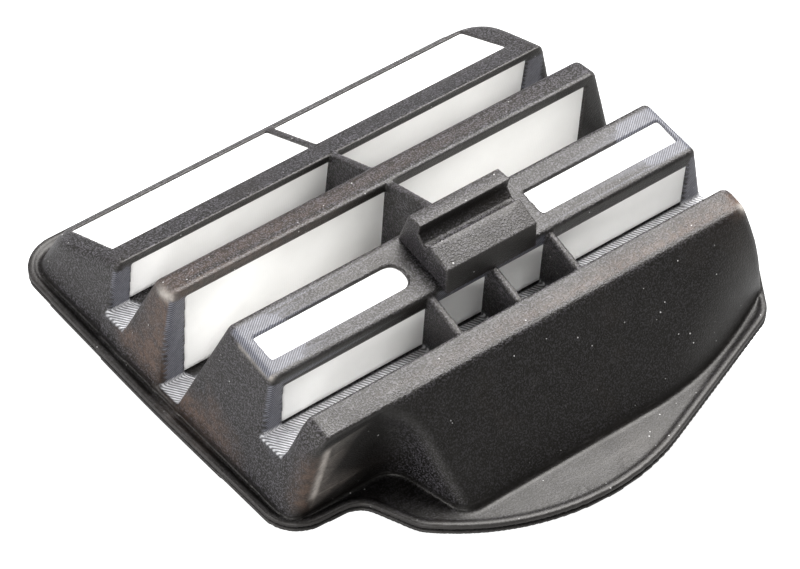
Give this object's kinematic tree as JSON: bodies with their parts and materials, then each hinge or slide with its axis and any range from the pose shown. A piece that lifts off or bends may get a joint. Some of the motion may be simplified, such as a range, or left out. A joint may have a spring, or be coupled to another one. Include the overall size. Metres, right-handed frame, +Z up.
{
  "type": "engine air filter housing",
  "caption": "Two-half moulded air filter for a small engine: ribbed upper half with nylon mesh windows in its ridges, shallow lower half with an oval intake collar and rubber seal.",
  "frame": {"origin": "middle of the whole object's box, on the underside of the intake seal", "axes": "+X along the ridges, +Y to the straight back edge and away from the front lobe, +Z up, out of the ridges' crests"},
  "size_m": [0.1126, 0.1138, 0.0499],
  "materials": {
    "shell": "dark grey moulded nylon with a fine speckled grain",
    "screen": "plain-woven white nylon mesh",
    "seal": "matt black rubber"
  },
  "bodies": {
    "lower_half": {"lower_shell": "shell", "intake_seal": "seal"},
    "upper_half": {"upper_shell": "shell", "screen_ridge1_roof_left": "screen", "screen_ridge1_roof_right": "screen", "screen_ridge1_front_left": "screen", "screen_ridge1_front_right": "screen", "screen_ridge2_back_left": "screen", "screen_ridge2_back_right": "screen", "screen_ridge2_front_left": "screen", "screen_ridge2_front_right": "screen", "screen_ridge3_back_left": "screen", "screen_ridge3_back_right": "screen", "screen_ridge3_crest_left": "screen", "screen_ridge3_crest_right": "screen", "screen_ridge3_front_left": "screen", "screen_ridge3_front_mid_left": "screen", "screen_ridge3_front_mid_right": "screen", "screen_ridge3_front_right": "screen", "screen_ridge4_back_left": "screen", "screen_ridge4_back_mid_left": "screen", "screen_ridge4_back_mid_right": "screen", "screen_ridge4_back_right": "screen"}
  },
  "joints": [
    {"name": "halves_pull_apart", "type": "slide", "parent": "lower_half", "child": "upper_half", "axis": [0, 0, 1], "range_m": [0, 0.04]}
  ]
}
